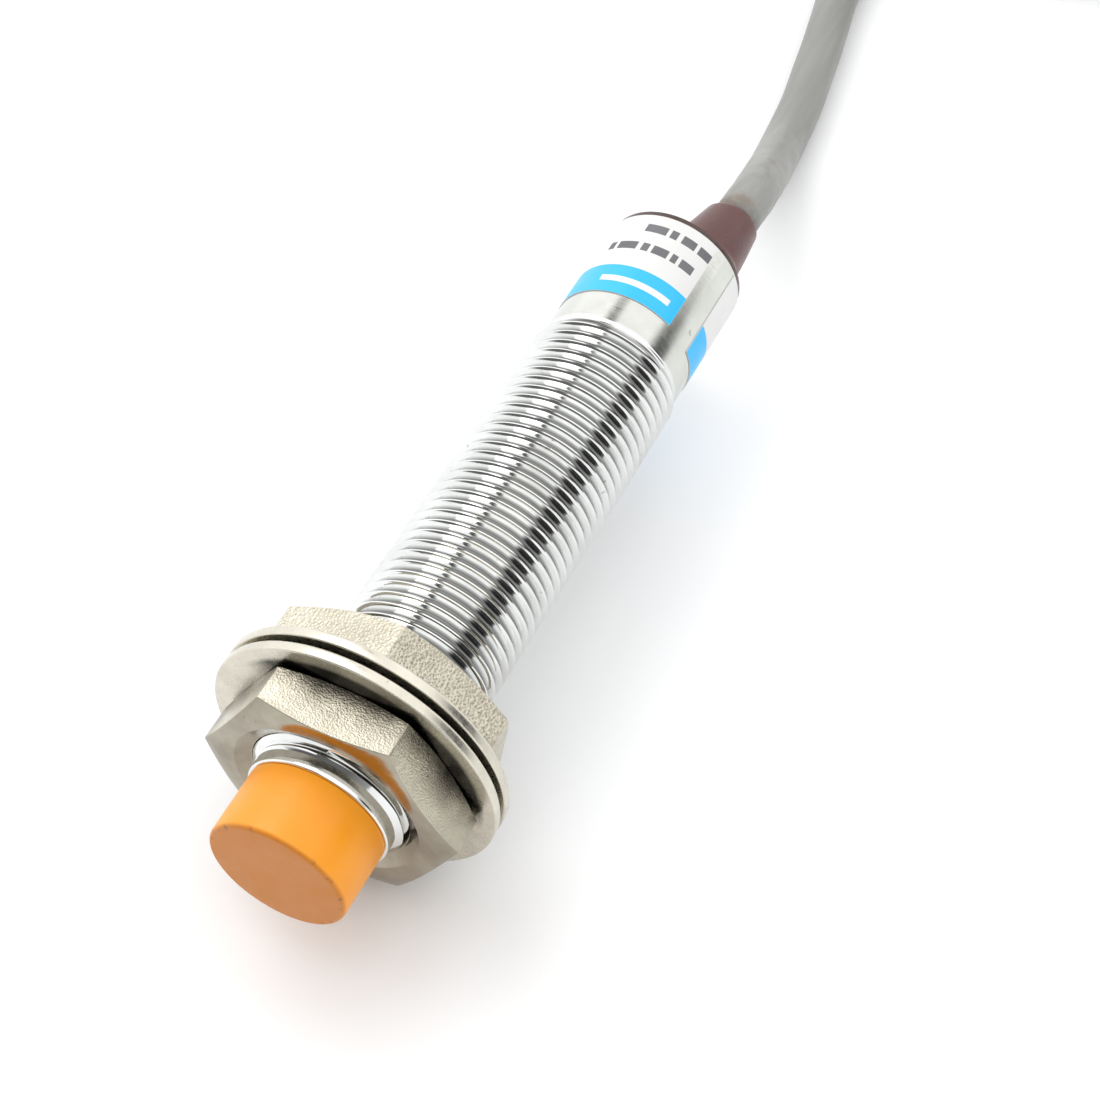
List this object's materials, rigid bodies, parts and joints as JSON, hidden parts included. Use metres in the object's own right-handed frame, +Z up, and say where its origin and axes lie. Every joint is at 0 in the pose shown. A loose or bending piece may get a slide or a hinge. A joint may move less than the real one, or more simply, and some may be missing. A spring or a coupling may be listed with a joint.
{
  "type": "proximity sensor",
  "caption": "Cylindrical inductive proximity sensor with a threaded metal barrel, plastic sensing cap, mounting nuts and washers, and a moulded-in cable.",
  "frame": {"origin": "centre of the sensing face, on the barrel's axis", "axes": "+Y along the barrel from the sensing face to the cable end, +Z up, +X to the right as seen from the sensing end; the axis is level"},
  "size_m": [0.0377, 0.1931, 0.0218],
  "materials": {
    "plated_barrel": "bright nickel-plated brass, turned",
    "plated_nut": "nickel-plated brass, turned faces and fine-grained flats",
    "plated_washer": "nickel-plated, flat and lightly brushed",
    "cap_plastic": "orange PBT, satin",
    "ferrite": "dark sintered ferrite",
    "bobbin_plastic": "natural nylon",
    "enamelled_copper": "enamelled copper wire",
    "board_laminate": "glass-epoxy laminate with solder mask",
    "chip_plastic": "moulded epoxy",
    "capacitor_body": "moulded tantalum capacitor",
    "ceramic_chip": "ceramic chip capacitor",
    "led_lens": "clear amber lens",
    "resin": "dark epoxy potting resin",
    "plug_plastic": "dark reddish-brown translucent plastic",
    "label_film": "printed polyester label, satin",
    "cable_sheath": "grey PVC, satin",
    "brown_insulation": "brown PVC",
    "blue_insulation": "blue PVC",
    "black_insulation": "black PVC",
    "tinned_copper": "tinned stranded copper",
    "tie_plastic": "black nylon tie"
  },
  "bodies": {
    "sensor": {"barrel": "plated_barrel", "sensing_cap": "cap_plastic", "ferrite_core": "ferrite", "coil_bobbin": "bobbin_plastic", "coil_winding": "enamelled_copper", "coil_leads": "enamelled_copper", "circuit_board": "board_laminate", "oscillator_chip": "chip_plastic", "output_transistor": "chip_plastic", "protection_diode": "chip_plastic", "smoothing_capacitor": "capacitor_body", "chip_resistors": "chip_plastic", "chip_capacitors": "ceramic_chip", "indicator_led": "led_lens", "potting_resin": "resin", "end_plug": "plug_plastic", "name_label": "label_film", "inner_sheath": "cable_sheath", "brown_core": "brown_insulation", "blue_core": "blue_insulation", "black_core": "black_insulation", "cable": "cable_sheath", "cable_hank": "cable_sheath", "cable_tail": "cable_sheath", "hank_tie": "tie_plastic", "brown_lead": "brown_insulation", "blue_lead": "blue_insulation", "black_lead": "black_insulation", "tinned_tips": "tinned_copper"},
    "front_washer": {"front_washer": "plated_washer"},
    "front_nut": {"front_nut": "plated_nut"},
    "rear_washer": {"rear_washer": "plated_washer"},
    "rear_nut": {"rear_nut": "plated_nut"}
  },
  "joints": [
    {"name": "front_washer_slide", "type": "slide", "parent": "sensor", "child": "front_washer", "axis": [0, 1, 0], "range_m": [-0.0031, 0.00021]},
    {"name": "front_nut_spin", "type": "hinge", "parent": "front_washer", "child": "front_nut", "pos_m": [0, 0.008, 0], "axis": [0, 1, 0], "range_deg": [-1080, 72]},
    {"name": "rear_washer_slide", "type": "slide", "parent": "sensor", "child": "rear_washer", "axis": [0, 1, 0], "range_m": [-0.00021, 0.0331]},
    {"name": "rear_nut_spin", "type": "hinge", "parent": "rear_washer", "child": "rear_nut", "pos_m": [0, 0.014, 0], "axis": [0, 1, 0], "range_deg": [-72, 11880]}
  ],
  "couplings": [
    {"joint": "front_washer_slide", "follows": "front_nut_spin", "m_per_rad": 0.00015915},
    {"joint": "rear_washer_slide", "follows": "rear_nut_spin", "m_per_rad": 0.00015915}
  ]
}
